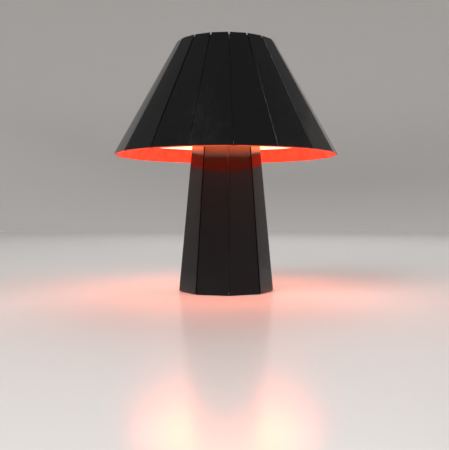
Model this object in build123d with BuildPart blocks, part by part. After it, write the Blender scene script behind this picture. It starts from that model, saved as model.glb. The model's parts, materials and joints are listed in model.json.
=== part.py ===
from build123d import *
import math
import os

# A table lamp of folded card: an 18-sided conical shade on a 9-sided tapering column.
# Millimetres. The origin is on the table at the column's axis, +Z is up, and the front
# seams of both sheets face -Y. An angle is counted from the front, anticlockwise from above.

# ---------------------------------------------------------------- driving dimensions
# Shade: radii are from the axis to a corner of the outer sheet.
shade_sides = 18
rim_r = 185.0
top_r = 82.0
rim_z = 226.0
top_z = 410.0
shade_slope = (rim_r - top_r) / (top_z - rim_z)

# Column: radii as above, at the table and falling by the slope.
column_sides = 9
foot_r = 79.8
column_slope = 0.0933
cover_foot_z = 1.5
diffuser_z = 248.0
cover_top_z = diffuser_z - 0.3

# Sheet stock and pleats.
card = 0.8
pleat_mouth = 2.4
pleat_depth = 2.2
seam_gap = 0.5
seam_taper_z = 155.0
seam_top_gap = 2.0
notch_depth = 3.2
glue = 0.1
overcut = 2.0

# Layers inside the shade's corners, as setbacks from the outer corner.
frame_outer = pleat_depth + card + 0.2
frame_inner = frame_outer + 1.4
liner_outer = frame_inner + 0.1
liner_inner = liner_outer + 0.7
hem_z = rim_z + 0.4
hem_thick = 0.7
liner_top_z = top_z - 9.5
rim_ring_z = hem_z + hem_thick
rim_ring_h = 5.0
top_ring_z = top_z - 12.0
top_ring_h = 7.0
rib_count = 6
rib_w = 5.0

# Stem, nuts and washers: an M10 tube.
stem_r = 5.0
stem_bore_r = 4.0
stem_foot_z = 6.5
stem_top_z = 268.0
stem_hole_r = 5.2
lead_hole_z = 60.0
lead_hole_r = 3.6
nut_sides = 6
nut_flats = 14.0
nut_h = 5.0
nut_bore_r = 5.05
washer_r = 11.0
washer_h = 1.5

# Base.
felt_h = 2.0
felt_setback = 4.2
plate_z = felt_h
plate_h = 3.0
weight_z = plate_z + plate_h
weight_h = 20.0
weight_r = 56.0
weight_pocket_r = 12.0
weight_pocket_h = 9.0
weight_flat_y = 42.0
weight_bevel = 1.5
weight_screw_r = 38.0
former_setback = 5.5
base_frame_top_z = 66.0
boss_r = 4.5
boss_at_r = 65.5
boss_h = 16.0
screws_per_ring = 3
screw_pitch_angle = 360 / screws_per_ring
screw_r = 1.9
screw_hole_r = 2.0
screw_head_r = 3.8
screw_head_h = 1.9
screw_head_taper = 45
screw_length = 12.0
screw_first_angle = 20.0

# Upper former and diffuser.
former_foot_z = 218.0
former_web_h = 5.0
diffuser_h = 3.0
diffuser_gap = 0.5

# Lampholder and bulb, E27 sizes.
saddle_z = diffuser_z + diffuser_h + washer_h + nut_h
saddle_h = 2.0
holder_z = saddle_z + saddle_h
holder_r = 19.0
holder_wall = 1.8
holder_cap_h = 17.5
holder_cap_round = 5.0
holder_body_h = 28.0
collar_r = 23.0
collar_z = holder_z + 30.0
collar_h = 8.0
collar_grips = 24
collar_grip_r = 1.4
contact_block_z = holder_z + 10.0
contact_block_h = 8.5
shell_inner_r = 13.6
shell_wall = 0.8
shell_h = 25.0
bulb_cap_r = 13.2
bulb_cap_core_r = 12.3
bulb_thread_pitch = 3.6
bulb_threads = 5
bulb_cap_bevel = 2.0
bulb_cap_z = contact_block_z + contact_block_h + 3.0
bulb_cap_h = 22.0
bulb_globe_r = 30.0
bulb_neck_r = 14.5
bulb_neck_h = 8.0
bulb_glass = 1.0
bulb_centre_z = bulb_cap_z + bulb_cap_h + 50.0

# Harp, seat, spider and finial.
harp_foot_x = 27.0
harp_wide_x = 44.0
harp_wire_r = 1.6
harp_lower_rise = 14.0
harp_flank_rise = 36.0
harp_shoulder_drop = 24.0
harp_bends = (14.0, 14.0, 16.0, 12.0)
saddle_w = 12.0
saddle_pin_h = 12.0
ferrule_r = 3.0
ferrule_h = 16.0
harp_seat_z = 399.0
harp_seat_h = 2.0
harp_seat_r = 9.0
stud_r = 3.0
stud_h = 13.0
stud_bevel = 0.6
spider_z = harp_seat_z + harp_seat_h
spider_h = 3.0
spider_hub_r = 13.0
spider_arm_w = 7.0
stud_clearance = 0.3
finial_z = spider_z + spider_h
finial_r = 8.5
finial_h = 19.0
finial_grip_share = 0.55
finial_dome_r = 6.8
finial_round = 5.0
finial_grooves = 18
finial_groove_r = 0.9

# Rear panel fittings: the cord gland below and the push switch above it.
gland_z = 20.0
gland_bore_r = 3.1
gland_barrel_r = 5.9
gland_flange_r = 9.0
gland_flange_h = 2.5
gland_length = 16.0
switch_z = 44.0
switch_barrel_r = 5.9
switch_flange_r = 8.0
switch_flange_h = 1.5
switch_bevel = 0.6
switch_barrel_h = 12.0
switch_body_w = 13.0
switch_body_h = 9.0
switch_bore_h = 8.0
button_r = 4.5
button_gap = 0.05
button_proud = 4.0
button_seat = 5.0
fitting_hole_r = 6.0
fitting_nut_flats = 15.0
fitting_nut_h = 2.5
terminal_gap = 7.0
terminal_length = 6.0
terminal_thick = 1.6
terminal_w = 3.2

# Leads: 2.2 mm single cores.
lead_r = 1.1
lead_spread = 1.3
lead_bend_r = 5.0
lead_turn_r = 6.0
connector_x = -14.0
connector_y = 30.0
connector_w = 10.0
connector_l = 12.0
connector_h = 10.0
connector_screw_r = 2.0
small_round = 1.5


# ---------------------------------------------------------------- outlines
def shade_corner(z):
    """Radius of the shade's outer corners at a height."""
    return rim_r - (z - rim_z) * shade_slope


def column_corner(z):
    """Radius of the column's outer corners at a height."""
    return foot_r - z * column_slope


def place(radius, across, degrees):
    """Point at a radius, moved sideways by across, at an angle from the front."""
    turn = math.radians(degrees)
    x = radius * math.sin(turn) + across * math.cos(turn)
    y = across * math.sin(turn) - radius * math.cos(turn)
    return (x, y)


def plain_outline(sides, corner_r):
    """A regular polygon with one corner at the front."""
    return [place(corner_r, 0, 360 * k / sides) for k in range(sides)]


def pleated_outline(sides, corner_r, inset):
    """The same polygon with a square pleat folded in at each corner, moved inwards by inset."""
    half_turn = math.pi / sides
    half_mouth = pleat_mouth / 2 + inset
    lip_r = corner_r - inset / math.cos(half_turn) - half_mouth * math.tan(half_turn)
    floor_r = corner_r - pleat_depth - inset
    points = []
    for k in range(sides):
        angle = 360 * k / sides
        points.append(place(lip_r, -half_mouth, angle))
        points.append(place(floor_r, -half_mouth, angle))
        points.append(place(floor_r, half_mouth, angle))
        points.append(place(lip_r, half_mouth, angle))
    return points


def polar(degrees):
    """The angle from the front as an angle from +X."""
    return degrees - 90


def finish(part, label):
    """Names a finished piece and writes its file."""
    part.label = label
    export_step(part, f"parts/{label}.step")


os.makedirs("parts", exist_ok=True)

# The rear panel leans in by the column's slope, and its fittings stand square to it.
half_side = math.cos(math.pi / column_sides)
panel_lean = math.atan(column_slope * half_side)
panel_normal = (0, math.cos(panel_lean), math.sin(panel_lean))
gland_plane = Plane(
    origin=(0, column_corner(gland_z) * half_side, gland_z), x_dir=(1, 0, 0), z_dir=panel_normal
)
switch_plane = Plane(
    origin=(0, column_corner(switch_z) * half_side, switch_z), x_dir=(1, 0, 0), z_dir=panel_normal
)
wall_depth = former_setback * half_side * math.cos(panel_lean)

# ---------------------------------------------------------------- base
plate_outline = pleated_outline(column_sides, column_corner(plate_z + plate_h), card + glue)
screw_places = [
    place(radius, 0, screw_first_angle + screw_pitch_angle * k)
    for radius in (weight_screw_r, boss_at_r)
    for k in range(screws_per_ring)
]

# Felt pad, the face that the lamp stands on.
with BuildPart() as felt_pad:
    with BuildSketch():
        Polygon(*plain_outline(column_sides, foot_r - felt_setback), align=None)
    extrude(amount=felt_h)
finish(felt_pad.part, "felt_pad")

# Steel base plate with countersunk holes for its six screws.
with BuildPart() as base_plate:
    with BuildSketch(Plane.XY.offset(plate_z)):
        Polygon(*plate_outline, align=None)
    extrude(amount=plate_h)
    with Locations(Location((0, 0, plate_z), (180, 0, 0))):
        with Locations(*[(x, -y) for x, y in screw_places]):
            CounterSinkHole(radius=screw_hole_r, counter_sink_radius=screw_head_r + glue)
finish(base_plate.part, "base_plate")

# Cast weight, flat at the rear for the cord, with a pocket for the stem's lower nut.
with BuildPart() as base_weight:
    with BuildSketch(Plane.XY.offset(weight_z)):
        Circle(weight_r)
        Circle(stem_hole_r, mode=Mode.SUBTRACT)
    extrude(amount=weight_h)
    chamfer(base_weight.edges().group_by(Edge.length)[-1], length=weight_bevel)
    with BuildSketch(Plane.XY.offset(weight_z)):
        with Locations((0, weight_flat_y + weight_r / 2)):
            Rectangle(2 * weight_r, weight_r)
    extrude(amount=weight_h, mode=Mode.SUBTRACT)
    with BuildSketch(Plane.XY.offset(weight_z)):
        Circle(weight_pocket_r)
    extrude(amount=weight_pocket_h, mode=Mode.SUBTRACT)
    with BuildSketch(Plane.XY.offset(weight_z)):
        with Locations(*screw_places[:screws_per_ring]):
            Circle(screw_hole_r)
    extrude(amount=screw_length, mode=Mode.SUBTRACT)
finish(base_weight.part, "base_weight")

# Six countersunk screws: three into the weight, three into the base frame's bosses.
with BuildPart() as plate_screws:
    with BuildSketch(Plane.XY.offset(plate_z)):
        with Locations(*screw_places):
            Circle(screw_head_r)
    extrude(amount=screw_head_h, taper=screw_head_taper)
    with BuildSketch(Plane.XY.offset(plate_z)):
        with Locations(*screw_places):
            Circle(screw_r)
    extrude(amount=screw_length)
    with BuildSketch(Plane.XY.offset(plate_z)):
        with Locations(*screw_places):
            Rectangle(screw_head_r, screw_r / 3)
    extrude(amount=screw_head_h / 2, mode=Mode.SUBTRACT)
finish(plate_screws.part, "plate_screws")

# Moulded nine-sided frame that the column's sheet is glued round at the foot.
with BuildPart() as base_frame:
    for z in (weight_z, base_frame_top_z):
        with BuildSketch(Plane.XY.offset(z)):
            Polygon(*pleated_outline(column_sides, column_corner(z), card + glue), align=None)
    loft(ruled=True)
    for z in (weight_z - overcut, base_frame_top_z + overcut):
        with BuildSketch(Plane.XY.offset(z)):
            Polygon(*plain_outline(column_sides, column_corner(z) - former_setback), align=None)
    loft(ruled=True, mode=Mode.SUBTRACT)
    with BuildSketch(Plane.XY.offset(weight_z)):
        with Locations(*screw_places[screws_per_ring:]):
            Circle(boss_r)
    extrude(amount=boss_h)
    with BuildSketch(Plane.XY.offset(weight_z)):
        with Locations(*screw_places[screws_per_ring:]):
            Circle(screw_hole_r)
    extrude(amount=screw_length, mode=Mode.SUBTRACT)
    for plane in (gland_plane, switch_plane):
        with BuildSketch(plane):
            Circle(fitting_hole_r)
        extrude(amount=-(wall_depth + overcut), mode=Mode.SUBTRACT)
finish(base_frame.part, "base_frame")

# ---------------------------------------------------------------- column
# One sheet folded into nine panels. Its ends meet in the front pleat, where the gap widens
# towards the top.
with BuildPart() as column_cover:
    for z in (cover_foot_z, cover_top_z):
        with BuildSketch(Plane.XY.offset(z)):
            Polygon(*pleated_outline(column_sides, column_corner(z), 0), align=None)
    loft(ruled=True)
    for z in (cover_foot_z - overcut, cover_top_z + overcut):
        with BuildSketch(Plane.XY.offset(z)):
            Polygon(*pleated_outline(column_sides, column_corner(z), card), align=None)
    loft(ruled=True, mode=Mode.SUBTRACT)
    with BuildSketch(Plane.XZ):
        Polygon(
            (-seam_gap / 2, 0),
            (seam_gap / 2, 0),
            (seam_gap / 2, seam_taper_z),
            (seam_top_gap / 2, diffuser_z),
            (-seam_top_gap / 2, diffuser_z),
            (-seam_gap / 2, seam_taper_z),
            align=None,
        )
    extrude(amount=foot_r, mode=Mode.SUBTRACT)
    for plane in (gland_plane, switch_plane):
        with BuildSketch(plane):
            Circle(fitting_hole_r)
        extrude(amount=-wall_depth, mode=Mode.SUBTRACT)
finish(column_cover.part, "column_cover")

# Strip glued behind the column's seam, between the two formers.
strip_thick = 0.6
strip_setback = pleat_depth + card + glue
with BuildPart() as column_seam_strip:
    for z in (base_frame_top_z, former_foot_z):
        with BuildSketch(Plane.XY.offset(z)):
            with Locations((0, -(column_corner(z) - strip_setback - strip_thick / 2))):
                Rectangle(pleat_mouth + 2 * card, strip_thick)
    loft(ruled=True)
finish(column_seam_strip.part, "column_seam_strip")

# Cap-shaped former that closes the column's top and carries the diffuser.
with BuildPart() as upper_former:
    for z in (former_foot_z, diffuser_z):
        with BuildSketch(Plane.XY.offset(z)):
            Polygon(*pleated_outline(column_sides, column_corner(z), card + glue), align=None)
    loft(ruled=True)
    for z in (former_foot_z - overcut, diffuser_z - former_web_h):
        with BuildSketch(Plane.XY.offset(z)):
            Polygon(*plain_outline(column_sides, column_corner(z) - former_setback), align=None)
    loft(ruled=True, mode=Mode.SUBTRACT)
    with BuildSketch(Plane.XY.offset(diffuser_z - former_web_h)):
        Circle(stem_hole_r)
    extrude(amount=former_web_h, mode=Mode.SUBTRACT)
finish(upper_former.part, "upper_former")

# Threaded tube from the weight to the lampholder, with a side hole where the leads enter.
with BuildPart() as stem_tube:
    with BuildSketch(Plane.XY.offset(stem_foot_z)):
        Circle(stem_r)
        Circle(stem_bore_r, mode=Mode.SUBTRACT)
    extrude(amount=stem_top_z - stem_foot_z)
    with BuildSketch(Plane.XZ):
        with Locations((0, lead_hole_z)):
            SlotCenterToCenter(center_separation=lead_r, height=2 * lead_hole_r, rotation=90)
    extrude(amount=-washer_r, mode=Mode.SUBTRACT)
finish(stem_tube.part, "stem_tube")

# Four equal nuts and washers: below and above the weight, below the web, above the diffuser.
pocket_top_z = weight_z + weight_pocket_h
weight_top_z = weight_z + weight_h
web_foot_z = diffuser_z - former_web_h
diffuser_top_z = diffuser_z + diffuser_h
washer_places = (
    pocket_top_z - washer_h,
    weight_top_z,
    web_foot_z - washer_h,
    diffuser_top_z,
)
nut_places = (
    pocket_top_z - washer_h - nut_h,
    weight_top_z + washer_h,
    web_foot_z - washer_h - nut_h,
    diffuser_top_z + washer_h,
)
with BuildPart() as stem_washers:
    for z in washer_places:
        with BuildSketch(Plane.XY.offset(z)):
            Circle(washer_r)
            Circle(stem_hole_r, mode=Mode.SUBTRACT)
        extrude(amount=washer_h)
finish(stem_washers.part, "stem_washers")

with BuildPart() as stem_nuts:
    for z in nut_places:
        with BuildSketch(Plane.XY.offset(z)):
            RegularPolygon(nut_flats / 2, nut_sides, major_radius=False)
            Circle(nut_bore_r, mode=Mode.SUBTRACT)
        extrude(amount=nut_h)
finish(stem_nuts.part, "stem_nuts")

# ---------------------------------------------------------------- diffuser
# Eighteen-sided opal disc clamped on the former, its edge sloped like the shade's wall.
with BuildPart() as diffuser_disc:
    for z in (diffuser_z, diffuser_top_z):
        with BuildSketch(Plane.XY.offset(z)):
            corner_r = shade_corner(z) - liner_inner - diffuser_gap
            Polygon(*plain_outline(shade_sides, corner_r), align=None)
    loft(ruled=True)
    with BuildSketch(Plane.XY.offset(diffuser_z)):
        Circle(stem_hole_r)
    extrude(amount=diffuser_h, mode=Mode.SUBTRACT)
finish(diffuser_disc.part, "diffuser_disc")

# ---------------------------------------------------------------- lampholder
with BuildPart() as lampholder_cap:
    with BuildSketch(Plane.XY.offset(holder_z)):
        Circle(holder_r)
    extrude(amount=holder_cap_h)
    fillet(lampholder_cap.edges().sort_by(Axis.Z)[0], radius=holder_cap_round)
    with BuildSketch(Plane.XY.offset(holder_z + 2 * holder_wall)):
        Circle(holder_r - holder_wall)
    extrude(amount=holder_cap_h, mode=Mode.SUBTRACT)
    with BuildSketch(Plane.XY.offset(holder_z)):
        Circle(nut_bore_r)
    extrude(amount=holder_cap_h, mode=Mode.SUBTRACT)
finish(lampholder_cap.part, "lampholder_cap")

# Ceramic block with two wire holes, held between cap and body.
block_r = holder_r - holder_wall - glue
with BuildPart() as contact_block:
    with BuildSketch(Plane.XY.offset(contact_block_z)):
        Circle(block_r)
    extrude(amount=contact_block_h)
    with BuildSketch(Plane.XY.offset(contact_block_z + contact_block_h - 2 * holder_wall)):
        with Locations((-block_r + holder_wall, 0), (block_r - holder_wall, 0)):
            Circle(holder_wall / 2)
    extrude(amount=2 * holder_wall, mode=Mode.SUBTRACT)
finish(contact_block.part, "contact_block")

shell_z = contact_block_z + contact_block_h
contact_r = 3.5
contact_h = 1.2
insulator_r = 8.4
insulator_h = 1.4
tip_h = 0.4
with BuildPart() as centre_contact:
    with BuildSketch(Plane.XY.offset(shell_z)):
        Circle(contact_r)
        with Locations((contact_r, 0)):
            Rectangle(2 * contact_r, contact_r)
    extrude(amount=contact_h)
finish(centre_contact.part, "centre_contact")

# Rolled screw shell: a thin tube with rounded ridges.
with BuildPart() as screw_shell:
    with BuildSketch(Plane.XY.offset(shell_z)):
        Circle(shell_inner_r + shell_wall)
        Circle(shell_inner_r, mode=Mode.SUBTRACT)
    extrude(amount=shell_h)
    ridge_count = int(shell_h / bulb_thread_pitch) - 1
    for k in range(ridge_count):
        ridge_z = shell_z + bulb_thread_pitch * (k + 1)
        with BuildSketch(Plane.XY.offset(ridge_z)):
            Circle(shell_inner_r + 2 * shell_wall)
            Circle(shell_inner_r, mode=Mode.SUBTRACT)
        extrude(amount=bulb_thread_pitch / 2)
finish(screw_shell.part, "screw_shell")

body_z = holder_z + holder_cap_h
with BuildPart() as lampholder_body:
    with BuildSketch(Plane.XY.offset(body_z)):
        Circle(holder_r)
        Circle(holder_r - holder_wall, mode=Mode.SUBTRACT)
    extrude(amount=holder_body_h)
    chamfer(lampholder_body.faces().sort_by(Axis.Z)[-1].edges(), length=holder_wall / 3)
finish(lampholder_body.part, "lampholder_body")

# Collar ring on the body, with finger grooves round its edge.
with BuildPart() as lampholder_ring:
    with BuildSketch(Plane.XY.offset(collar_z)):
        Circle(collar_r)
        Circle(holder_r + glue, mode=Mode.SUBTRACT)
        with PolarLocations(collar_r + collar_grip_r / 2, collar_grips):
            Circle(collar_grip_r, mode=Mode.SUBTRACT)
    extrude(amount=collar_h)
finish(lampholder_ring.part, "lampholder_ring")

# ---------------------------------------------------------------- bulb
# Screw cap: a plain core with rounded threads drawn as rings.
bulb_cap_top_z = bulb_cap_z + bulb_cap_h
with BuildPart() as bulb_cap:
    with BuildSketch(Plane.XY.offset(bulb_cap_z)):
        Circle(bulb_cap_core_r)
    extrude(amount=bulb_cap_h)
    chamfer(bulb_cap.edges().sort_by(Axis.Z)[0], length=bulb_cap_bevel)
    for k in range(bulb_threads):
        with BuildSketch(Plane.XY.offset(bulb_cap_z + bulb_cap_bevel + bulb_thread_pitch * k)):
            Circle(bulb_cap_r)
        extrude(amount=bulb_thread_pitch / 2)
    fillet(
        bulb_cap.edges().filter_by(GeomType.CIRCLE).filter_by(
            lambda edge: abs(edge.radius - bulb_cap_r) < glue
        ),
        radius=(bulb_cap_r - bulb_cap_core_r) / 2,
    )
finish(bulb_cap.part, "bulb_cap")

with BuildPart() as bulb_insulator:
    with BuildSketch(Plane.XY.offset(bulb_cap_z - insulator_h)):
        Circle(insulator_r)
    extrude(amount=insulator_h)
    chamfer(bulb_insulator.faces().sort_by(Axis.Z)[0].edges(), length=insulator_h / 2)
finish(bulb_insulator.part, "bulb_insulator")

with BuildPart() as bulb_contact:
    with BuildSketch(Plane.XY.offset(bulb_cap_z - insulator_h - tip_h)):
        Circle(contact_r)
    extrude(amount=tip_h)
finish(bulb_contact.part, "bulb_contact")


def bulb_side(offset):
    """Neck point, tangent point and top of the glass, moved inwards by offset."""
    radius = bulb_globe_r - offset
    neck_r = bulb_neck_r - offset
    neck_top_z = bulb_cap_top_z + bulb_neck_h
    reach = bulb_centre_z - neck_top_z
    gap = math.hypot(reach, neck_r)
    angle = math.atan2(neck_r, reach) + math.acos(radius / gap)
    tangent = (radius * math.sin(angle), bulb_centre_z - radius * math.cos(angle))
    side = (radius, bulb_centre_z)
    return neck_r, neck_top_z, tangent, side, (0, bulb_centre_z + radius)


# Pear-shaped glass: a short neck, a cone that meets the sphere smoothly, open at the neck.
with BuildPart() as bulb_globe:
    with BuildSketch(Plane.XZ):
        with BuildLine():
            neck_r, neck_top_z, tangent, side, top = bulb_side(0)
            Polyline((0, bulb_cap_top_z), (neck_r, bulb_cap_top_z), (neck_r, neck_top_z), tangent)
            ThreePointArc(tangent, side, top)
            Line(top, (0, bulb_cap_top_z))
        make_face()
    revolve(axis=Axis.Z)
    with BuildSketch(Plane.XZ):
        with BuildLine():
            neck_r, neck_top_z, tangent, side, top = bulb_side(bulb_glass)
            Polyline((0, bulb_cap_top_z), (neck_r, bulb_cap_top_z), (neck_r, neck_top_z), tangent)
            ThreePointArc(tangent, side, top)
            Line(top, (0, bulb_cap_top_z))
        make_face()
    revolve(axis=Axis.Z, mode=Mode.SUBTRACT)
finish(bulb_globe.part, "bulb_globe")

# ---------------------------------------------------------------- harp
# Flat saddle under the lampholder, with a pin standing up at each end.
with BuildPart() as harp_saddle:
    with BuildSketch(Plane.XY.offset(saddle_z)):
        SlotCenterToCenter(center_separation=2 * harp_foot_x, height=saddle_w)
        Circle(stem_hole_r, mode=Mode.SUBTRACT)
    extrude(amount=saddle_h)
    with BuildSketch(Plane.XY.offset(saddle_z + saddle_h)):
        with Locations((-harp_foot_x, 0), (harp_foot_x, 0)):
            Circle(harp_wire_r)
    extrude(amount=saddle_pin_h)
finish(harp_saddle.part, "harp_saddle")

ferrule_z = saddle_z + saddle_h
with BuildPart() as harp_ferrules:
    with BuildSketch(Plane.XY.offset(ferrule_z)):
        with Locations((-harp_foot_x, 0), (harp_foot_x, 0)):
            Circle(ferrule_r)
            Circle(harp_wire_r + glue, mode=Mode.SUBTRACT)
    extrude(amount=ferrule_h)
finish(harp_ferrules.part, "harp_ferrules")

# One bent wire from ferrule to ferrule over the bulb, level under the seat.
harp_start_z = ferrule_z + saddle_pin_h
harp_top_z = harp_seat_z - harp_wire_r
harp_flank = (
    (harp_foot_x, harp_start_z),
    (harp_foot_x, harp_start_z + harp_lower_rise),
    (harp_wide_x, harp_start_z + harp_flank_rise),
    (harp_wide_x, harp_top_z - harp_shoulder_drop),
    (harp_foot_x, harp_top_z),
)
harp_route = [(x, 0, z) for x, z in harp_flank] + [(-x, 0, z) for x, z in reversed(harp_flank)]
with BuildPart() as harp_wire:
    with BuildLine():
        FilletPolyline(*harp_route, radius=[*harp_bends, *reversed(harp_bends)])
    with BuildSketch(Plane.XY.offset(harp_start_z)):
        with Locations((harp_foot_x, 0)):
            Circle(harp_wire_r)
    sweep()
finish(harp_wire.part, "harp_wire")

# Round seat on the harp's top with the threaded stud for the finial.
with BuildPart() as harp_seat:
    with BuildSketch(Plane.XY.offset(harp_seat_z)):
        Circle(harp_seat_r)
    extrude(amount=harp_seat_h)
    with BuildSketch(Plane.XY.offset(harp_seat_z + harp_seat_h)):
        Circle(stud_r)
    extrude(amount=stud_h)
    chamfer(harp_seat.edges().sort_by(Axis.Z)[-1], length=stud_bevel)
finish(harp_seat.part, "harp_seat")

# ---------------------------------------------------------------- shade
# One sheet folded into eighteen panels. Its ends meet in the front pleat, and each pleat
# ends in a small notch at the top.
with BuildPart() as shade_cover:
    for z in (rim_z, top_z):
        with BuildSketch(Plane.XY.offset(z)):
            Polygon(*pleated_outline(shade_sides, shade_corner(z), 0), align=None)
    loft(ruled=True)
    for z in (rim_z - overcut, top_z + overcut):
        with BuildSketch(Plane.XY.offset(z)):
            Polygon(*pleated_outline(shade_sides, shade_corner(z), card), align=None)
    loft(ruled=True, mode=Mode.SUBTRACT)
    with BuildSketch(Plane.XY.offset(rim_z)):
        with Locations((0, -rim_r)):
            Rectangle(seam_gap, 2 * (rim_r - top_r) + rim_r / 2)
    extrude(amount=top_z - rim_z, mode=Mode.SUBTRACT)
    with BuildSketch(Plane.XY.offset(top_z)):
        with PolarLocations(top_r, shade_sides, start_angle=polar(0)):
            Rectangle(4 * pleat_depth, pleat_mouth)
    extrude(amount=-notch_depth, mode=Mode.SUBTRACT)
finish(shade_cover.part, "shade_cover")

# Liner inside the pleats, its lower edge turned out under the rim ring to the cover.
with BuildPart() as shade_liner:
    for z in (hem_z, liner_top_z):
        with BuildSketch(Plane.XY.offset(z)):
            Polygon(*plain_outline(shade_sides, shade_corner(z) - liner_outer), align=None)
    loft(ruled=True)
    with BuildSketch(Plane.XY.offset(hem_z)):
        hem_corner = shade_corner(hem_z + hem_thick)
        Polygon(*pleated_outline(shade_sides, hem_corner, card + glue), align=None)
    extrude(amount=hem_thick)
    for z in (hem_z - overcut, liner_top_z + overcut):
        with BuildSketch(Plane.XY.offset(z)):
            Polygon(*plain_outline(shade_sides, shade_corner(z) - liner_inner), align=None)
    loft(ruled=True, mode=Mode.SUBTRACT)
finish(shade_liner.part, "shade_liner")

# Steel strip rings at the rim and near the top, in the layer between cover and liner.
rim_ring_top_z = rim_ring_z + rim_ring_h
with BuildPart() as rim_ring:
    for z in (rim_ring_z, rim_ring_top_z):
        with BuildSketch(Plane.XY.offset(z)):
            Polygon(*plain_outline(shade_sides, shade_corner(z) - frame_outer), align=None)
    loft(ruled=True)
    for z in (rim_ring_z - overcut, rim_ring_top_z + overcut):
        with BuildSketch(Plane.XY.offset(z)):
            Polygon(*plain_outline(shade_sides, shade_corner(z) - frame_inner), align=None)
    loft(ruled=True, mode=Mode.SUBTRACT)
finish(rim_ring.part, "rim_ring")

top_ring_top_z = top_ring_z + top_ring_h
with BuildPart() as top_ring:
    for z in (top_ring_z, top_ring_top_z):
        with BuildSketch(Plane.XY.offset(z)):
            Polygon(*plain_outline(shade_sides, shade_corner(z) - frame_outer), align=None)
    loft(ruled=True)
    for z in (top_ring_z - overcut, top_ring_top_z + overcut):
        with BuildSketch(Plane.XY.offset(z)):
            Polygon(*plain_outline(shade_sides, shade_corner(z) - frame_inner), align=None)
    loft(ruled=True, mode=Mode.SUBTRACT)
finish(top_ring.part, "top_ring")

# Six flat ribs from ring to ring, each behind the middle of a panel.
half_panel = math.cos(math.pi / shade_sides)
rib_thick = (frame_inner - frame_outer) * half_panel
rib_setback = (frame_inner + frame_outer) / 2
panel_middle = 180 / shade_sides
for rib_number in range(rib_count):
    rib_angle = polar(panel_middle + 360 * rib_number / rib_count)
    with BuildPart() as shade_rib:
        for z in (rim_ring_top_z, top_ring_z):
            with BuildSketch(Plane.XY.offset(z)):
                rib_radius = (shade_corner(z) - rib_setback) * half_panel
                with PolarLocations(rib_radius, 1, start_angle=rib_angle):
                    Rectangle(rib_thick, rib_w)
        loft(ruled=True)
    finish(shade_rib.part, f"shade_rib_{rib_number + 1}")

# Strip behind the shade's seam, between the rings.
with BuildPart() as shade_seam_strip:
    for z in (rim_ring_top_z, top_ring_z):
        with BuildSketch(Plane.XY.offset(z)):
            with Locations((0, -(shade_corner(z) - strip_setback - strip_thick / 2))):
                Rectangle(pleat_mouth + 2 * card, strip_thick)
    loft(ruled=True)
finish(shade_seam_strip.part, "shade_seam_strip")

# Spider: hub and three arms that end on the top ring's inner face.
spider_top_z = spider_z + spider_h
with BuildPart() as shade_spider:
    with BuildSketch(Plane.XY.offset(spider_z)):
        Circle(spider_hub_r)
        with PolarLocations(top_r / 2, 3, start_angle=polar(panel_middle)):
            Rectangle(top_r, spider_arm_w)
    extrude(amount=spider_h)
    for z in (spider_z, spider_top_z):
        with BuildSketch(Plane.XY.offset(z)):
            Polygon(*plain_outline(shade_sides, shade_corner(z) - frame_inner), align=None)
    loft(ruled=True, mode=Mode.INTERSECT)
    with BuildSketch(Plane.XY.offset(spider_z)):
        Circle(stud_r + stud_clearance)
    extrude(amount=spider_h, mode=Mode.SUBTRACT)
finish(shade_spider.part, "shade_spider")

# Knurled finial with a blind bore that clears the stud.
with BuildPart() as finial:
    with BuildSketch(Plane.XY.offset(finial_z)):
        Circle(finial_r)
        with PolarLocations(finial_r + finial_groove_r / 3, finial_grooves):
            Circle(finial_groove_r, mode=Mode.SUBTRACT)
    extrude(amount=finial_h * finial_grip_share)
    with BuildSketch(Plane.XY.offset(finial_z)):
        Circle(finial_dome_r)
    extrude(amount=finial_h)
    fillet(finial.faces().sort_by(Axis.Z)[-1].edges(), radius=finial_round)
    with BuildSketch(Plane.XY.offset(finial_z)):
        Circle(stud_r + stud_clearance)
    extrude(amount=stud_h + stud_clearance, mode=Mode.SUBTRACT)
finish(finial.part, "finial")

# ---------------------------------------------------------------- rear fittings
with BuildPart() as cord_gland:
    with BuildSketch(gland_plane):
        Circle(gland_flange_r)
    extrude(amount=gland_flange_h)
    chamfer(cord_gland.faces().sort_by(Axis.Y)[-1].edges(), length=1.0)
    with BuildSketch(gland_plane):
        Circle(gland_barrel_r)
    extrude(amount=-(gland_length - gland_flange_h))
    with BuildSketch(gland_plane.offset(gland_flange_h)):
        Circle(gland_bore_r)
    extrude(amount=-gland_length, mode=Mode.SUBTRACT)
finish(cord_gland.part, "cord_gland")

nut_plane_depth = wall_depth + fitting_nut_h
with BuildPart() as gland_nut:
    with BuildSketch(gland_plane.offset(-nut_plane_depth)):
        RegularPolygon(fitting_nut_flats / 2, nut_sides, major_radius=False)
        Circle(gland_barrel_r + button_gap, mode=Mode.SUBTRACT)
    extrude(amount=fitting_nut_h)
finish(gland_nut.part, "gland_nut")

with BuildPart() as switch_nut:
    with BuildSketch(switch_plane.offset(-nut_plane_depth)):
        RegularPolygon(fitting_nut_flats / 2, nut_sides, major_radius=False)
        Circle(switch_barrel_r + button_gap, mode=Mode.SUBTRACT)
    extrude(amount=fitting_nut_h)
finish(switch_nut.part, "switch_nut")

with BuildPart() as switch_body:
    with BuildSketch(switch_plane):
        Circle(switch_flange_r)
    extrude(amount=switch_flange_h)
    chamfer(switch_body.faces().sort_by(Axis.Y)[-1].edges(), length=switch_bevel)
    with BuildSketch(switch_plane):
        Circle(switch_barrel_r)
    extrude(amount=-switch_barrel_h)
    with BuildSketch(switch_plane.offset(-switch_barrel_h)):
        RectangleRounded(switch_body_w, switch_body_w, radius=small_round)
    extrude(amount=-switch_body_h)
    with BuildSketch(switch_plane.offset(switch_flange_h)):
        Circle(button_r + button_gap)
    extrude(amount=-switch_bore_h, mode=Mode.SUBTRACT)
finish(switch_body.part, "switch_body")

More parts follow.
